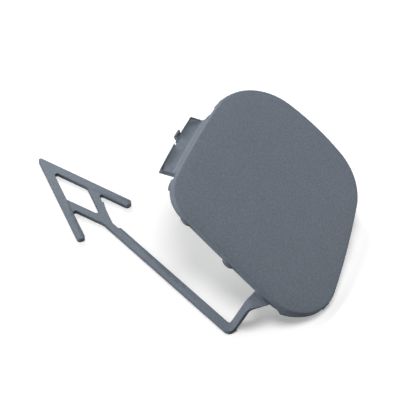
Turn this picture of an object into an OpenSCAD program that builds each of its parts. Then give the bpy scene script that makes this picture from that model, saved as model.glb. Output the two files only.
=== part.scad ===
// Bumper tow hook cover: a crowned face panel with a turned-down rim, a locating
// tongue, snap hooks and ribs behind it, and a flat tether that ends in an arrow.
// All of it is one injection moulding, drawn as it lies on a table, face up,
// resting on its tether and on the lip at one corner of the rim.

/* [Face panel] */
// Thickness of the panel's skin
skin_t = 2.2; // [1.6:0.1:2.8]
// Radius of the crown of the face
crown_r = 600; // [300:10:2000]
// Depth of the rim from the face
rim_h = 3.2; // [3:0.1:6]
// Thickness of the rim's wall
rim_t = 2; // [1.4:0.1:3]
// Radius of the edge between face and rim
edge_r = 1; // [0.4:0.1:1.3]

/* [Panel outline] */
// Strap corner: centre, towards the foot side
strap_corner_x = 23.1; // [18:0.1:30]
// Strap corner: centre, away from the strap side
strap_corner_y = -20.5; // [-26:0.1:-14]
// Strap corner: radius
strap_corner_r = 18.5; // [12:0.1:22]
// Foot corner: centre, towards the foot side
foot_corner_x = 4; // [-2:0.1:10]
// Foot corner: centre, away from the strap side
foot_corner_y = 16; // [10:0.1:22]
// Foot corner: radius
foot_corner_r = 25.7; // [18:0.1:30]
// Crest corner: centre, towards the foot side
crest_corner_x = -18.8; // [-26:0.1:-12]
// Crest corner: centre, away from the strap side
crest_corner_y = 19.5; // [14:0.1:26]
// Crest corner: radius
crest_corner_r = 24.2; // [18:0.1:28]
// Tongue corner: centre, towards the foot side
tongue_corner_x = -24; // [-30:0.1:-18]
// Tongue corner: centre, away from the strap side
tongue_corner_y = -20.7; // [-26:0.1:-14]
// Tongue corner: radius
tongue_corner_r = 14.2; // [10:0.1:18]
// Radius of the foot side's long curve
foot_side_r = 440; // [200:10:900]
// Radius of the crest side's long curve
crest_side_r = 108; // [80:1:200]
// Radius of the tongue side's long curve
tongue_side_r = 296; // [150:2:600]
// Radius of the strap side's long curve
strap_side_r = 530; // [200:10:900]

/* [Rim pads] */
// Radius of a half-round pad under the rim
pad_r = 2.8; // [2:0.1:4]
// How far a pad reaches below the rim
pad_drop = 1.6; // [1:0.1:1.9]
// How far a pad stands out from the rim's wall
pad_proud = 0.3; // [0.2:0.1:0.6]
// How far the corner lip reaches below the rim where it starts
lip_drop = 2.1; // [0.4:0.1:2.6]
// Where the corner lip starts, as a direction from the corner's centre
lip_from = -76; // [-84:1:-60]
// Where the corner lip has run out
lip_to = -46; // [-50:1:-20]

/* [Tongue] */
// How far the tongue reaches out from the rim
tongue_reach = 5.9; // [4:0.1:10]
// Length of the tongue along the rim
tongue_len = 30; // [20:0.2:40]
// Where the middle of the tongue is, across the panel
tongue_y = -4.8; // [-10:0.1:2]
// Thickness of the tongue
tongue_t = 2.8; // [1.6:0.1:3.2]
// Depth of the tongue's upper side below the face, at the rim
tongue_drop = 4; // [3.6:0.1:8]
// Slope of the tongue away from the face
tongue_slope = 28; // [0:1:35]
// Radius of the hollow between rim and tongue
tongue_fillet = 2.8; // [0.8:0.1:3]
// Radius of the sweep from the tongue's upper end into the rim
tongue_flare = 3; // [2:0.1:5]
// Width of the bead along the tongue's free edge
bead_w = 0.4; // [0.3:0.1:1]
// Height of the bead
bead_h = 0.7; // [0.3:0.1:1]
// Width of the catch on the free edge
catch_w = 3.2; // [2:0.1:5]
// How far the catch stands out past the free edge
catch_out = 1.3; // [0.6:0.1:2]
// Height of the catch over the tongue
catch_rise = 0.9; // [0.3:0.1:1.5]
// How far the catch's tip reaches down
catch_h = 0.9; // [0.5:0.1:1.6]
// Middle of the catch, from the tongue's middle towards its upper end
catch_shift = 4.5; // [-4:0.1:7]
// Width of the notch beside the catch
notch_w = 3; // [1.5:0.1:4]
// Depth of the notch from the free edge
notch_l = 1.2; // [0.8:0.1:2]

/* [Snap hooks] */
// Width of a snap hook
hook_w = 7; // [4:0.5:10]
// Thickness of a snap hook's leg
hook_t = 1.6; // [1.2:0.1:2.4]
// Gap between rim and leg
hook_gap = 2.6; // [2:0.1:4]
// How far a hook reaches below the rim
hook_drop = 8.7; // [5:0.1:9]
// How far a hook's nose stands out from its leg
hook_nose = 1.3; // [0.6:0.1:1.8]
// Thickness of the rib that stiffens a hook
hook_rib = 1.2; // [1:0.1:2]

/* [Ribs] */
// Thickness of the ribs
rib_t = 1.4; // [1:0.1:2]
// How far the ribs stand out from the back of the skin
rib_h = 3.2; // [1:0.1:3.6]
// Distance from the panel's outline to the rib frame
rib_inset = 9; // [7.5:0.1:14]
// Distance between the ribs that cross the frame
rib_pitch = 19; // [12:0.5:26]

/* [Tether] */
// Width of the strap
strap_w = 3.6; // [2.6:0.1:5]
// Thickness of the strap
strap_t = 2; // [1.4:0.1:3]
// Length of the strap from its corner to the arrow's neck
strap_len = 75.8; // [50:0.5:100]
// Outer radius of the strap's corner
corner_r = 2.4; // [1:0.1:3]
// Inner radius of the strap's corner
corner_in_r = 1; // [0.5:0.1:2]
// Length of the flat foot after the corner
foot_len = 2.6; // [2.3:0.1:4]
// Height of the riser's knee, where it turns steep, above the table
knee_z = 5.5; // [4:0.1:7]
// Distance of the knee from the strap
knee_y = 5.9; // [5:0.1:6.6]
// How far the knee lies past the corner
knee_x = -0.1; // [-0.6:0.1:0.6]
// Height of the crease at the riser's top above the table
crease_z = 12; // [9:0.1:13]
// Distance of the crease from the strap
crease_y = 7.7; // [7:0.1:9.5]
// How far the crease lies past the corner
crease_x = 1.8; // [-0.2:0.1:2.4]
// Length of the crease across the riser
crease_w = 4.4; // [3.6:0.1:6]
// Direction of the crease
crease_angle = -30; // [-45:1:0]
// Width of the root on the rim
root_w = 8; // [6:0.1:10]
// Middle of the root along the rim, from the panel's centre
root_x = 19; // [14:0.1:22]
// Thickness of the riser and its root
root_t = 1.4; // [1.2:0.1:2]

/* [Arrow] */
// Half of the angle between the arrow's barbs
barb_angle = 17.7; // [14:0.1:22]
// Width of a barb
barb_w = 3.4; // [2.6:0.1:4.4]
// Distance from the arrow's point to the ends of the barbs
barb_reach = 49.2; // [42:0.2:60]
// How much shorter the barb on the panel's side is
barb_cut = 2.3; // [0:0.1:3]
// Radius of the barbs' end corners
barb_end_r = 1.3; // [0.5:0.1:1.3]
// Radius of the arrow's point
point_r = 0.9; // [0.4:0.1:1.5]
// Length of the diamond window
window_len = 33.6; // [26:0.2:36]
// Angle of the struts to the arrow's axis
strut_angle = 18.5; // [15:0.1:24]
// Width of a strut
strut_w = 3; // [2:0.1:4]
// Radius of the inner corners
inner_r = 1; // [0.4:0.1:1.4]
// Distance from a barb's inner corner to the spur on one strut
spur_gap = 6.3; // [4:0.1:8]
// Length of the spur
spur_len = 3.8; // [2:0.1:5]
// Height of the spur
spur_h = 0.6; // [0.3:0.1:1]
// Depth of the waist on one side of the neck
waist = 0.8; // [0.2:0.1:1.2]
// Length of the waist
waist_len = 6; // [4:0.1:12]
// Set of the arrow against the strap
arrow_set = 1.2; // [-3:0.1:3]

/* [How it lies] */
// Tilt of the panel, down towards its foot side
panel_tilt = 28; // [24:0.5:32]
// Turn of the panel against the strap
panel_turn = 18.5; // [15:0.5:21]
// Place of the panel's centre along the strap, from the strap's corner
panel_x = -23.1; // [-25:0.1:-21]
// Distance of the panel's centre from the strap
panel_y = 47.3; // [46:0.1:50]

/* [Hidden] */
// Overlap between solids that are one piece
sink = 0.6;
// Steps on a corner, on a side and round the edge radius
corner_steps = 16;
side_steps = 12;
edge_steps = 4;
// Share of the outline at which the face's inner rings lie
face_rings = [0.82, 0.58, 0.3];
// Steps on the rounded corners of the strap and arrow
round_steps = 8;
// Places of the half-round pads and the snap hooks: number of the outline's arc, and share of it;
// and the share of a pad's drop that each pad has
pad_places = [[7, 0.53], [7, 0.04], [6, 0.15], [4, 0.93], [4, 0.83], [0, 0.8]];
pad_shares = [1, 0.65, 1, 1, 1, 0.3];
hook_places = [[1, 0.85], [2, 0.88]];
pad_fn = 48;
hollow_fn = 64;
sweep_fn = 360;

// Plane helpers
function unit(v) = v / norm(v);
function dir(a) = [cos(a), sin(a)];
function bearing(v) = atan2(v[1], v[0]);
// Smallest angle equal to a that is not below the angle from
function above(a, from) = a < from ? above(a + 360, from) : (a >= from + 360 ? above(a - 360, from) : a);

// The four corner circles, anticlockwise: strap, foot, crest and tongue corner
corner_c = [
    [strap_corner_x, strap_corner_y],
    [foot_corner_x, foot_corner_y],
    [crest_corner_x, crest_corner_y],
    [tongue_corner_x, tongue_corner_y]
];
corner_rr = [strap_corner_r, foot_corner_r, crest_corner_r, tongue_corner_r];
side_rr = [foot_side_r, crest_side_r, tongue_side_r, strap_side_r];

// Centre of the long arc that touches corner circles i and i + 1 from outside
function side_centre(i) =
    let (
        a = corner_c[i],
        b = corner_c[(i + 1) % 4],
        ra = side_rr[i] - corner_rr[i],
        rb = side_rr[i] - corner_rr[(i + 1) % 4],
        d = norm(b - a),
        e = (b - a) / d,
        along = (ra * ra - rb * rb + d * d) / (2 * d),
        across = sqrt(ra * ra - along * along)
    )
    a + along * e + across * [-e[1], e[0]];
side_c = [for (i = [0:3]) side_centre(i)];

// The outline's eight arcs as [centre, radius, first angle, last angle]
function corner_arc(i) =
    let (
        first = bearing(corner_c[i] - side_c[(i + 3) % 4]),
        last = bearing(corner_c[i] - side_c[i])
    )
    [corner_c[i], corner_rr[i], first, above(last, first)];
function side_arc(i) =
    let (
        first = bearing(corner_c[i] - side_c[i]),
        last = bearing(corner_c[(i + 1) % 4] - side_c[i])
    )
    [side_c[i], side_rr[i], first, above(last, first)];
arcs = [for (i = [0:3]) each [corner_arc(i), side_arc(i)]];

// A place on arc k at share t, as [centre, radius, angle]
function on_arc(k, t) = [arcs[k][0], arcs[k][1], arcs[k][2] + (arcs[k][3] - arcs[k][2]) * t];
function inset_at(p, inset) = p[0] + (p[1] - inset) * dir(p[2]);
outline = [
    for (k = [0:7])
        let (steps = k % 2 == 0 ? corner_steps : side_steps)
            for (i = [0:steps - 1]) on_arc(k, i / steps)
];
count = len(outline);

// Height of the crowned face over a point of the panel
function crown(p) = sqrt(crown_r * crown_r - p[0] * p[0] - p[1] * p[1]) - crown_r;
function on_face(p, depth) = [p[0], p[1], crown(p) - depth];
function ring(inset, depth) = [for (p = outline) on_face(inset_at(p, inset), depth)];
// How far before the tongue's lower end the rim is back at its own depth
rim_step = 2.5;
// The rim's lower edge: deeper at the lip round the strap corner, and where it carries the tongue
function has_lip(p) = p[1] == strap_corner_r && p[2] >= lip_from && p[2] <= lip_to;
function lip_at(p) = lip_drop * (lip_to - p[2]) / (lip_to - lip_from);
function has_tongue(p) =
    p[1] == tongue_side_r
    && above(p[2], 0) >= tongue_first - on_tongue(tongue_flare / 2)
    && above(p[2], 0) <= tongue_last - on_tongue(rim_step);
function rim_depth(p) = has_lip(p) ? rim_h + lip_at(p) : (has_tongue(p) ? tongue_drop + tongue_t / 2 : rim_h);
function rim_ring(inset) = [for (p = outline) on_face(inset_at(p, inset), rim_depth(p))];
function inner_ring(share, inset, depth) = [for (p = outline) on_face(share * inset_at(p, inset), depth)];

// The tongue turns about the centre of the tongue side's long arc; angles grow towards its lower end
tongue_c = side_c[2];
tongue_r = tongue_side_r;
tongue_face_z = crown([tongue_c[0] - tongue_r, 0]);
function on_tongue(length) = length / tongue_r * 180 / PI;
tongue_mid = 180 - asin((tongue_y - tongue_c[1]) / tongue_r);
tongue_first = tongue_mid - on_tongue(tongue_len / 2);
tongue_last = tongue_mid + on_tongue(tongue_len / 2);
tongue_fall = tan(tongue_slope);
tongue_tip_drop = tongue_drop + tongue_reach * tongue_fall;
fillet_bite = 0.15;

// Rings of the shell, from the middle of the face out, round the rim and back in
shell_rings = concat(
    [for (i = [len(face_rings) - 1:-1:0]) inner_ring(face_rings[i], edge_r, 0)],
    [
        for (i = [0:edge_steps])
            let (a = 90 * i / edge_steps)
                ring(edge_r * (1 - sin(a)), edge_r * (1 - cos(a)))
    ],
    [rim_ring(0), rim_ring(rim_t), ring(rim_t, skin_t)],
    [for (share = face_rings) inner_ring(share, rim_t, skin_t)]
);
shell_points = concat([[0, 0, 0]], [for (r = shell_rings) each r], [[0, 0, -skin_t]]);
shell_last = len(shell_points) - 1;
function shell_i(r, i) = 1 + r * count + i % count;
shell_faces = concat(
    [for (i = [0:count - 1]) [0, shell_i(0, i + 1), shell_i(0, i)]],
    [
        for (r = [0:len(shell_rings) - 2])
            for (i = [0:count - 1])
                each [
                    [shell_i(r, i), shell_i(r, i + 1), shell_i(r + 1, i + 1)],
                    [shell_i(r, i), shell_i(r + 1, i + 1), shell_i(r + 1, i)]
                ]
    ],
    [
        for (i = [0:count - 1])
            [shell_last, shell_i(len(shell_rings) - 1, i), shell_i(len(shell_rings) - 1, i + 1)]
    ]
);

hook_out = -rim_t - hook_gap;
hook_low = -rim_h - hook_drop;
// Height at which the lowest point of the rim, of a pad or of a hook touches the table
function below(p) = p[0] * sin(panel_tilt) - p[2] * cos(panel_tilt);
function hook_corner(place, side) =
    let (foot = inset_at(place, 0), tip = foot + (hook_out + hook_nose / 2) * dir(place[2]))
    concat(tip + side * hook_w / 2 * dir(place[2] + 90), [crown(foot) + hook_low]);
hook_tips = [for (h = hook_places, side = [-1, 1]) hook_corner(on_arc(h[0], h[1]), side)];
pad_feet = [
    for (i = [0:len(pad_places) - 1])
        on_face(inset_at(on_arc(pad_places[i][0], pad_places[i][1]), -pad_proud), rim_h + pad_shares[i] * pad_drop)
];
panel_z = max([for (p = concat(rim_ring(0), pad_feet, hook_tips)) below(p)]);

// From the panel's own frame to the table's
function placed(p) =
    let (
        t = [p[0] * cos(panel_tilt) + p[2] * sin(panel_tilt), p[1], p[2] * cos(panel_tilt) - p[0] * sin(panel_tilt)]
    )
    [
        t[0] * cos(panel_turn) - t[1] * sin(panel_turn) + panel_x,
        t[0] * sin(panel_turn) + t[1] * cos(panel_turn) + panel_y,
        t[2] + panel_z
    ];
module place_panel() {
    translate([panel_x, panel_y, panel_z])
        rotate([0, 0, panel_turn])
            rotate([0, panel_tilt, 0])
                children();
}

// Crowned skin with its rounded edge and rim
module shell() {
    polyhedron(points = shell_points, faces = shell_faces, convexity = 4);
}

// Half-round pad under the rim, flush with its wall
module pad(place, share) {
    drop = share * pad_drop;
    foot = inset_at(place, rim_t);
    translate([foot[0], foot[1], crown(foot) - rim_h])
        rotate([90, 0, place[2] + 90])
            linear_extrude(rim_t + pad_proud)
                intersection() {
                    translate([0, pad_r - drop])
                        circle(r = pad_r, $fn = pad_fn);
                    translate([-pad_r, -2 * drop])
                        square([2 * pad_r, 2 * drop + sink]);
                }
}

// Section of the tongue: out from the arc's centre, and height over the face's edge
module tongue_section() {
    slope = tongue_slope;
    f = tongue_fillet;
    // The hollow's circle touches the wall and the tongue's upper side
    hollow_z = -tongue_drop + f * (1 / cos(slope) - tongue_fall);
    hollow_end = f * (1 - sin(slope));
    bead_in = tongue_reach - bead_w;
    difference() {
        polygon([
            [-rim_t / 2, hollow_z],
            [hollow_end, hollow_z],
            [hollow_end, -tongue_drop - hollow_end * tongue_fall],
            [bead_in, -tongue_drop - bead_in * tongue_fall],
            [bead_in, -tongue_drop - bead_in * tongue_fall + bead_h],
            [tongue_reach, -tongue_tip_drop + bead_h],
            [tongue_reach - tongue_t * sin(slope) / 2, -tongue_tip_drop - tongue_t],
            [0, -tongue_drop - tongue_t],
            [-rim_t / 2, -tongue_drop - tongue_t + rim_t / 2]
        ]);
        // Set into the wall a little, so that it meets the wall at an angle
        translate([f - fillet_bite, hollow_z])
            circle(r = f, $fn = hollow_fn);
    }
}
// Bead across the tongue's upper end
module end_bead_section() {
    bead_from = tongue_fillet * (1 - sin(tongue_slope)) + bead_w;
    polygon([
        [bead_from, -tongue_drop - bead_from * tongue_fall - tongue_t / 2],
        [tongue_reach, -tongue_tip_drop - tongue_t / 2],
        [tongue_reach, -tongue_tip_drop + bead_h],
        [bead_from, -tongue_drop - bead_from * tongue_fall + bead_h]
    ]);
}
module tongue_sector(from, to) {
    rotate([0, 0, from])
        rotate_extrude(angle = to - from, $fn = sweep_fn)
            translate([tongue_r, 0])
                children();
}
// Plan of the tongue, out from the wall and along it, with the sweep at its upper end
tongue_plan = rounded([
    [[-rim_t, -tongue_len / 2 - tongue_flare - 1], 0],
    [[-2 * fillet_bite, -tongue_len / 2 - tongue_flare - 1], 0],
    [[-2 * fillet_bite, -tongue_len / 2], tongue_flare],
    [[tongue_reach + 1, -tongue_len / 2], 0],
    [[tongue_reach + 1, tongue_len / 2 - sink / 4], 0],
    [[-rim_t, tongue_len / 2 - sink / 4], 0]
]);
notch_shift = (catch_w + notch_w) / 2 + notch_w / 4 - catch_shift;
module tongue() {
    translate([tongue_c[0], tongue_c[1], tongue_face_z])
        difference() {
            intersection() {
                union() {
                    tongue_sector(tongue_first - on_tongue(tongue_flare + 1), tongue_last)
                        tongue_section();
                    tongue_sector(tongue_first, tongue_first + on_tongue(bead_w))
                        end_bead_section();
                }
                rotate([0, 0, tongue_mid])
                    translate([tongue_r, 0, -tongue_tip_drop - 2 * tongue_t])
                        linear_extrude(tongue_tip_drop + 2 * tongue_t)
                            polygon(tongue_plan);
            }
            rotate([0, 0, tongue_mid])
                translate([
                    tongue_r + tongue_reach - notch_l,
                    notch_shift - notch_w / 2,
                    -tongue_tip_drop - 2 * tongue_t
                ])
                    cube([2 * notch_l, notch_w, 4 * tongue_t]);
        }
}

// Catch on the tongue's free edge, with a ramp towards its lower end
module tongue_catch() {
    translate([tongue_c[0], tongue_c[1], tongue_face_z])
        rotate([0, 0, tongue_mid])
            translate([tongue_r + tongue_reach, catch_w / 2 - catch_shift, -tongue_tip_drop])
                rotate([90, 0, 0])
                    linear_extrude(catch_w)
                        polygon([
                            [-bead_w - sink, -tongue_t / 2],
                            [0, -catch_h / 4],
                            [catch_out / 2, catch_rise],
                            [catch_out, catch_rise],
                            [catch_out, -catch_h],
                            [0, -tongue_t / 2 - catch_h],
                            [-bead_w - sink, -tongue_t / 2 - catch_h]
                        ]);
}

// Height of the nose's catching side for each millimetre that it stands out
hook_catch = 1.4;
// Section of a snap hook: out from the rim's wall, and height over the face's edge
hook_section = [
    [hook_out - hook_t, -skin_t / 2],
    [hook_out, -skin_t / 2],
    [hook_out, hook_low + hook_nose + hook_catch * hook_nose],
    [hook_out + hook_nose, hook_low + hook_nose],
    [hook_out + hook_nose / 2, hook_low],
    [hook_out - hook_t, hook_low]
];
hook_rib_section = [
    [hook_out - hook_t - hook_drop / 2, -skin_t / 2],
    [hook_out - hook_t / 2, -skin_t / 2],
    [hook_out - hook_t / 2, hook_low + hook_drop / 3]
];
module across(width) {
    translate([0, width / 2, 0])
        rotate([90, 0, 0])
            linear_extrude(width)
                children();
}
// Snap hook with its nose towards the rim, and the rib behind its leg
module snap_hook(place) {
    foot = inset_at(place, 0);
    translate([foot[0], foot[1], crown(foot)])
        rotate([0, 0, place[2]]) {
            across(hook_w)
                polygon(hook_section);
            across(hook_rib)
                polygon(hook_rib_section);
        }
}

// Rib frame that follows the outline, and the ribs that cross it
rib_floor = -skin_t - rib_h;
rib_top = -skin_t + sink;
module frame_area(inset) {
    polygon([for (p = outline) inset_at(p, inset)]);
}
module ribs() {
    translate([0, 0, rib_floor])
        linear_extrude(rib_top - rib_floor)
            intersection() {
                frame_area(rib_inset);
                union() {
                    difference() {
                        frame_area(rib_inset);
                        frame_area(rib_inset + rib_t);
                    }
                    for (i = [-1:1])
                        translate([i * rib_pitch - rib_t / 2, -crown_r / 2])
                            square([rib_t, crown_r]);
                    translate([-crown_r / 2, -rib_t / 2])
                        square([crown_r, rib_t]);
                }
            }
}

// Rounds corner b of the path a, b, c with radius r
function round_corner(a, b, c, r) =
    let (
        to_a = unit(a - b),
        to_c = unit(c - b),
        half = acos(to_a * to_c) / 2,
        centre = b + r / sin(half) * unit(to_a + to_c),
        first = bearing(b + r / tan(half) * to_a - centre),
        turn = bearing(b + r / tan(half) * to_c - centre) - first,
        sweep = turn > 180 ? turn - 360 : (turn < -180 ? turn + 360 : turn)
    )
    r == 0 ? [b] : [for (i = [0:round_steps]) centre + r * dir(first + sweep * i / round_steps)];
// Closed outline from corners [point, radius]
function rounded(v) =
    let (n = len(v))
    [for (i = [0:n - 1]) each round_corner(v[(i + n - 1) % n][0], v[i][0], v[(i + 1) % n][0], v[i][1])];

// Arrow in its own frame: along its axis from the sharp point, and across it
barb_lead = barb_w / sin(barb_angle);
window_end = barb_lead + window_len;
strut_meet = window_end + strut_w / sin(strut_angle);
// Where the line that rises from "from" meets the line that falls to "to"
function meet(from, to) =
    let (along = (from * tan(barb_angle) + to * tan(strut_angle)) / (tan(barb_angle) + tan(strut_angle)))
    [along, (along - from) * tan(barb_angle)];
window_side = meet(barb_lead, window_end);
notch = meet(barb_lead, strut_meet);
neck_along = strut_meet - strap_w / 2 / tan(strut_angle);
function barb_outer(reach) = reach * [1, tan(barb_angle)];
function barb_inner(reach) = barb_outer(reach) + barb_w * [sin(barb_angle), -cos(barb_angle)];
// A place on a strut's outer side
function on_strut(along, out) = [along, (strut_meet - along) * tan(strut_angle) + out];
spur_at = notch[0] + spur_gap;

// From the arrow's frame to the strap's, the neck at the end of the strap
function arrow_at(p, side) =
    let (q = [p[0] - neck_along, side * p[1]])
    [
        -strap_len + q[0] * cos(arrow_set) + q[1] * sin(arrow_set),
        q[1] * cos(arrow_set) - q[0] * sin(arrow_set)
    ];
strap_edge = strap_w / 2;
waist_end = -strap_len + waist_len;
tether_outline = rounded([
    [arrow_at([0, 0], 1), point_r],
    [arrow_at(barb_outer(barb_reach), -1), barb_end_r],
    [arrow_at(barb_inner(barb_reach), -1), barb_end_r],
    [arrow_at(notch, -1), inner_r],
    [arrow_at([neck_along, strap_edge], -1), strap_w],
    [[strap_edge, -strap_edge], corner_r],
    [[strap_edge, foot_len], 0],
    [[-strap_edge, foot_len], 0],
    [[-strap_edge, strap_edge], corner_in_r],
    [[waist_end + waist, strap_edge], waist / 4],
    [[waist_end, strap_edge - waist], waist / 4],
    [arrow_at([strut_meet - (strap_edge - waist) / tan(strut_angle), strap_edge - waist], 1), waist],
    [arrow_at(on_strut(spur_at + spur_len, 0), 1), 0],
    [arrow_at(on_strut(spur_at, spur_h), 1), 0],
    [arrow_at(on_strut(spur_at - spur_h / 4, 0), 1), 0],
    [arrow_at(notch, 1), inner_r],
    [arrow_at(barb_inner(barb_reach - barb_cut), 1), barb_end_r],
    [arrow_at(barb_outer(barb_reach - barb_cut), 1), barb_end_r]
]);
window_outline = rounded([
    [arrow_at([barb_lead, 0], 1), inner_r],
    [arrow_at(window_side, -1), inner_r],
    [arrow_at([window_end, 0], 1), inner_r],
    [arrow_at(window_side, 1), inner_r]
]);

// Flat strap with its corner, and the arrow with its diamond window
module strap_and_arrow() {
    linear_extrude(strap_t)
        difference() {
            polygon(tether_outline);
            polygon(window_outline);
        }
}

// Riser from the strap's foot up to the rim: left and right edges of its upper side
riser_skew = crease_w / 2 * dir(crease_angle);
knee_skew = (riser_skew + [strap_edge, -strap_w / 4]) / 2;
// Share of the root's thickness that is below the rim's edge
root_below = 0.6;
root_depth = rim_h + (root_below - 1) * root_t;
function root_edge(side, inward) =
    let (x = root_x + side * root_w / 2)
    placed([x, root_line_y(x) + inward, -root_depth + crown([x, root_line_y(x)])]);
// Strap side of the outline at x
function root_line_y(x) = side_c[3][1] - sqrt(strap_side_r * strap_side_r - (x - side_c[3][0]) * (x - side_c[3][0]));
riser_left = [
    [-strap_edge, foot_len - sink, strap_t],
    [-strap_edge, foot_len + sink, strap_t + sink],
    [knee_x - knee_skew[0], knee_y - knee_skew[1], knee_z],
    [crease_x - riser_skew[0], crease_y - riser_skew[1], crease_z],
    root_edge(-1, 0),
    root_edge(-1, rim_t)
];
riser_right = [
    [strap_edge, foot_len - sink - strap_w / 2, strap_t],
    [strap_edge, foot_len + sink - strap_w / 2, strap_t + sink],
    [knee_x + knee_skew[0], knee_y + knee_skew[1], knee_z],
    [crease_x + riser_skew[0], crease_y + riser_skew[1], crease_z],
    root_edge(1, 0),
    root_edge(1, rim_t)
];
riser_steps = 3;
riser_blend = 0.3;
// Path through the points with its corners blended
function blended(v) = concat(
    [v[0]],
    [
        for (i = [1:len(v) - 2])
            let (
                a = v[i] + riser_blend * (v[i - 1] - v[i]),
                b = v[i] + riser_blend * (v[i + 1] - v[i])
            )
                for (k = [0:riser_steps])
                    let (t = k / riser_steps)
                        (1 - t) * (1 - t) * a + 2 * t * (1 - t) * v[i] + t * t * b
    ],
    [v[len(v) - 1]]
);
riser_l = blended(riser_left);
riser_r = blended(riser_right);
riser_n = len(riser_l);
// Way out of the upper side at step i
function riser_up(i) =
    let (
        before = max(i - 1, 0),
        after = min(i + 1, riser_n - 1),
        along = (riser_l[after] + riser_r[after] - riser_l[before] - riser_r[before]) / 2
    )
    unit(cross(riser_r[i] - riser_l[i], along));
riser_points = [
    for (i = [0:riser_n - 1])
        let (down = -(root_t) * riser_up(i))
            each [riser_l[i], riser_r[i], riser_r[i] + down, riser_l[i] + down]
];
riser_faces = concat(
    [[0, 1, 2], [0, 2, 3]],
    [
        for (i = [0:riser_n - 2])
            for (k = [0:3])
                let (a = 4 * i + k, b = 4 * i + (k + 1) % 4)
                    each [[a, a + 4, b + 4], [a, b + 4, b]]
    ],
    [let (e = 4 * (riser_n - 1)) each [[e, e + 2, e + 1], [e, e + 3, e + 2]]]
);
module riser() {
    polyhedron(points = riser_points, faces = riser_faces, convexity = 4);
}

module cover() {
    color("#6b717b") {
        place_panel() {
            shell();
            for (i = [0:len(pad_places) - 1])
                pad(on_arc(pad_places[i][0], pad_places[i][1]), pad_shares[i]);
            tongue();
            tongue_catch();
            for (p = hook_places)
                snap_hook(on_arc(p[0], p[1]));
            ribs();
        }
        riser();
        strap_and_arrow();
    }
}

cover();
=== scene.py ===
"""Tow hook cover lying on a white table, its panel held up by the tether."""

import math

import bmesh
import bpy
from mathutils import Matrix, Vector


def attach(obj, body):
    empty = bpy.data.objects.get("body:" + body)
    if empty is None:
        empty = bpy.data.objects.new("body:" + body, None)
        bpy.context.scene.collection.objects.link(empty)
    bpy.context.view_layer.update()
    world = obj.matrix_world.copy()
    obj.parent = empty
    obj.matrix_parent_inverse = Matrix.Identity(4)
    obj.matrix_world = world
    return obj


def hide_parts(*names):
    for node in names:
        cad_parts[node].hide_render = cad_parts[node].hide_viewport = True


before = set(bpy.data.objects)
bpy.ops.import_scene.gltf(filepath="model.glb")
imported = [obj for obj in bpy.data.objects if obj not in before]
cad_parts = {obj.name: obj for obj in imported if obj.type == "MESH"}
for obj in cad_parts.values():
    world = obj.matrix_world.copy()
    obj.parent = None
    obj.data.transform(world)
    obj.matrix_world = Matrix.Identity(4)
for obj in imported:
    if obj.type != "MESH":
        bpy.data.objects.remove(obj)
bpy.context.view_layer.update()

MM = 0.001

# Camera: where the photograph was taken from, in the part's frame
AIM = Vector((-54.8, 37.4, 0)) * MM
CAMERA_DISTANCE = 800 * MM
CAMERA_ELEVATION = math.radians(48)
CAMERA_TURN = math.radians(48.5)
# Width that one pixel takes in at the aim point, image width in pixels, sensor width in mm
PIXEL_WIDTH = 0.42 * MM
IMAGE_PIXELS = 416
SENSOR = 36.0

# Plastic: primer grey, with the pits of the eroded mould and a slow drift from the melt's flow
PLASTIC_GREY = 0x6C7580
PLASTIC_IOR = 1.49
PLASTIC_SPECULAR = 0.35
# The mould leaves pits of about 0.25 mm; drawn at 0.8 mm so that they show
GRAIN_WIDTH = 0.8 * MM
GRAIN_DETAIL = 3.0
GRAIN_BREAKUP = 0.6
GRAIN_DEPTH = 0.05 * MM
GRAIN_STRENGTH = 0.25
FLOW_WIDTH = 12 * MM
FLOW_DETAIL = 2.0
# Part of the noise that is spread over each range: shade of grain and flow, and roughness
NOISE_SPREAD = (0.3, 0.7)
GRAIN_SHADES = (0.84, 1.16)
FLOW_SHADES = (0.98, 1.02)
MATTE_ROUGHNESS = (0.52, 0.62)

# Corners of facets closer than this are joined; edges that bend more than this stay sharp
MERGE_DISTANCE = 0.002 * MM
SHARP_EDGE = math.radians(32)

# Table: half its width, its colour for light that bounces and for the camera, and the
# glow that lifts what the camera sees to white
TABLE_HALF = 700 * MM
TABLE_BOUNCE = 0xB6B5B4
TABLE_SEEN = 0xF4F4F3
TABLE_LIFT = 0.27

# Surroundings: their colour, the strength that lights the cover, and the one the camera sees
WHITE = (1, 1, 1, 1)
WORLD_LIGHT = 0.03
WORLD_SEEN = 1.0


def linear(hex_colour):
    """Linear RGBA of an sRGB hex colour such as 0x6C7580."""
    channels = [(hex_colour >> shift & 255) / 255 for shift in (16, 8, 0)]
    return [c / 12.92 if c <= 0.04045 else ((c + 0.055) / 1.055) ** 2.4
            for c in channels] + [1.0]


def add_node(tree, kind, links=None, **settings):
    """A node of this kind: links are {input: socket or value}, settings its properties."""
    node = tree.nodes.new(kind)
    for key, value in settings.items():
        setattr(node, key, value)
    for key, value in (links or {}).items():
        if isinstance(value, bpy.types.NodeSocket):
            tree.links.new(value, node.inputs[key])
        else:
            node.inputs[key].default_value = value
    return node


def new_material(name):
    """An empty node material of this name, and its tree."""
    material = bpy.data.materials.new(name)
    material.use_nodes = True
    material.node_tree.nodes.clear()
    return material, material.node_tree


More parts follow.
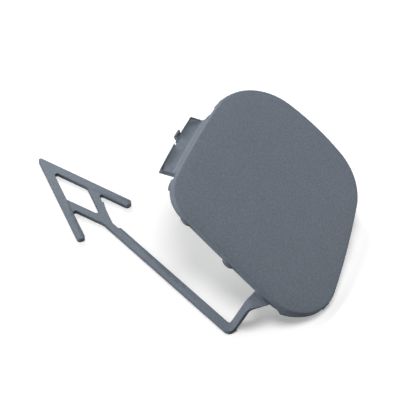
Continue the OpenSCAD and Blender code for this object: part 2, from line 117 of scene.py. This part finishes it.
def moulded_polypropylene():
    """Primer-grey polypropylene out of a spark-eroded mould: matte, with a fine even grain."""
    material, tree = new_material("moulded_polypropylene")
    place = add_node(tree, "ShaderNodeTexCoord").outputs["Object"]
    grain = add_node(tree, "ShaderNodeTexNoise", {
        "Vector": place, "Scale": 1 / GRAIN_WIDTH,
        "Detail": GRAIN_DETAIL, "Roughness": GRAIN_BREAKUP}).outputs["Fac"]
    flow = add_node(tree, "ShaderNodeTexNoise", {
        "Vector": place, "Scale": 1 / FLOW_WIDTH, "Detail": FLOW_DETAIL}).outputs["Fac"]
    speck, drift, matte = [
        add_node(tree, "ShaderNodeMapRange", {
            "Value": noise, "From Min": NOISE_SPREAD[0], "From Max": NOISE_SPREAD[1],
            "To Min": low, "To Max": high}).outputs["Result"]
        for noise, (low, high) in (
            (grain, GRAIN_SHADES), (flow, FLOW_SHADES), (grain, MATTE_ROUGHNESS))]
    shade = add_node(tree, "ShaderNodeMath", {0: speck, 1: drift}, operation="MULTIPLY")
    colour = add_node(tree, "ShaderNodeVectorMath", {
        0: linear(PLASTIC_GREY)[:3], "Scale": shade.outputs["Value"]}, operation="SCALE")
    bump = add_node(tree, "ShaderNodeBump", {
        "Height": grain, "Strength": GRAIN_STRENGTH, "Distance": GRAIN_DEPTH})
    plastic = add_node(tree, "ShaderNodeBsdfPrincipled", {
        "Base Color": colour.outputs["Vector"], "Roughness": matte, "IOR": PLASTIC_IOR,
        "Specular IOR Level": PLASTIC_SPECULAR, "Normal": bump.outputs["Normal"]})
    add_node(tree, "ShaderNodeOutputMaterial", {"Surface": plastic.outputs["BSDF"]})
    return material


def white_laminate():
    """White laminate table top: an even white without gloss, which keeps the cover's shadow."""
    material, tree = new_material("white_laminate")
    seen = add_node(tree, "ShaderNodeLightPath").outputs["Is Camera Ray"]
    white = add_node(tree, "ShaderNodeMix", {
        "Factor": seen, "A": linear(TABLE_BOUNCE), "B": linear(TABLE_SEEN)}, data_type="RGBA")
    paper = add_node(tree, "ShaderNodeBsdfDiffuse", {"Color": white.outputs["Result"]})
    amount = add_node(tree, "ShaderNodeMath", {0: seen, 1: TABLE_LIFT}, operation="MULTIPLY")
    lift = add_node(tree, "ShaderNodeEmission", {
        "Color": WHITE, "Strength": amount.outputs["Value"]})
    both = add_node(tree, "ShaderNodeAddShader", {
        0: paper.outputs["BSDF"], 1: lift.outputs["Emission"]})
    add_node(tree, "ShaderNodeOutputMaterial", {"Surface": both.outputs["Shader"]})
    return material


def cover_skin(plastic):
    """The moulding with its facets joined, so that the crowned face shades smoothly."""
    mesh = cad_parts["cover"].data.copy()
    mesh.name = "cover_moulding"
    shape = bmesh.new()
    shape.from_mesh(mesh)
    bmesh.ops.remove_doubles(shape, verts=shape.verts, dist=MERGE_DISTANCE)
    shape.to_mesh(mesh)
    shape.free()
    mesh.materials.clear()
    mesh.materials.append(plastic)
    mesh.shade_smooth()
    mesh.set_sharp_from_angle(angle=SHARP_EDGE)
    piece = bpy.data.objects.new("cover_moulding", mesh)
    bpy.context.scene.collection.objects.link(piece)
    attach(piece, "root")
    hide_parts("cover")


def table_top():
    """Flat square that the cover lies on, at height 0."""
    shape = bmesh.new()
    bmesh.ops.create_grid(shape, x_segments=1, y_segments=1, size=TABLE_HALF)
    mesh = bpy.data.meshes.new("table_top")
    shape.to_mesh(mesh)
    shape.free()
    mesh.materials.append(white_laminate())
    table = bpy.data.objects.new("table_top", mesh)
    bpy.context.scene.collection.objects.link(table)


def direction(turn, rise):
    """Unit vector turned left from the camera's heading, then raised; both in radians."""
    angle = CAMERA_TURN + turn
    level = Vector((-math.sin(angle), math.cos(angle), 0))
    return level * math.cos(rise) + Vector((0, 0, math.sin(rise)))


def place_facing(thing, way, distance):
    """Puts a lamp or camera at this distance from the aim point and turns it to that point."""
    bpy.context.scene.collection.objects.link(thing)
    thing.location = AIM + way * distance
    thing.rotation_euler = (-way).to_track_quat("-Z", "Y").to_euler()


def lamp(name, turn, elevation, distance, size, share):
    """Disk lamp aimed at the cover; share 1 lights a colour that faces it as it is written."""
    light = bpy.data.lights.new(name, "AREA")
    light.shape = "DISK"
    light.size = size
    light.energy = share * (math.pi * distance) ** 2
    way = direction(math.radians(turn), math.radians(elevation))
    place_facing(bpy.data.objects.new(name, light), way, distance)


def studio():
    """White surroundings that give little light, and five soft lamps."""
    world = bpy.data.worlds.new("studio")
    bpy.context.scene.world = world
    world.use_nodes = True
    tree = world.node_tree
    tree.nodes.clear()
    around, seen = [
        add_node(tree, "ShaderNodeBackground", {"Color": WHITE, "Strength": strength})
        for strength in (WORLD_LIGHT, WORLD_SEEN)]
    camera_ray = add_node(tree, "ShaderNodeLightPath").outputs["Is Camera Ray"]
    both = add_node(tree, "ShaderNodeMixShader", {
        0: camera_ray, 1: around.outputs["Background"], 2: seen.outputs["Background"]})
    add_node(tree, "ShaderNodeOutputWorld", {"Surface": both.outputs["Shader"]})
    # Turn to the left of the camera's heading and elevation in degrees, distance and size in m
    lamp("overhead_softbox", turn=-60, elevation=88, distance=1.3, size=0.8, share=0.57)
    lamp("back_window", turn=22, elevation=32, distance=1.2, size=0.4, share=0.5)
    lamp("left_window", turn=95, elevation=28, distance=1.2, size=0.5, share=0.2)
    lamp("right_wall", turn=-75, elevation=30, distance=1.2, size=0.5, share=0.24)
    lamp("left_strip", turn=110, elevation=6, distance=1.2, size=0.4, share=0.55)


def camera():
    """Camera at the photograph's angle and scale, looking at the aim point."""
    data = bpy.data.cameras.new("camera")
    data.sensor_width = SENSOR
    data.lens = SENSOR * CAMERA_DISTANCE / (PIXEL_WIDTH * IMAGE_PIXELS)
    eye = bpy.data.objects.new("camera", data)
    place_facing(eye, direction(math.pi, CAMERA_ELEVATION), CAMERA_DISTANCE)
    bpy.context.scene.camera = eye


cover_skin(moulded_polypropylene())
table_top()
studio()
camera()
bpy.context.scene.view_settings.view_transform = "Standard"
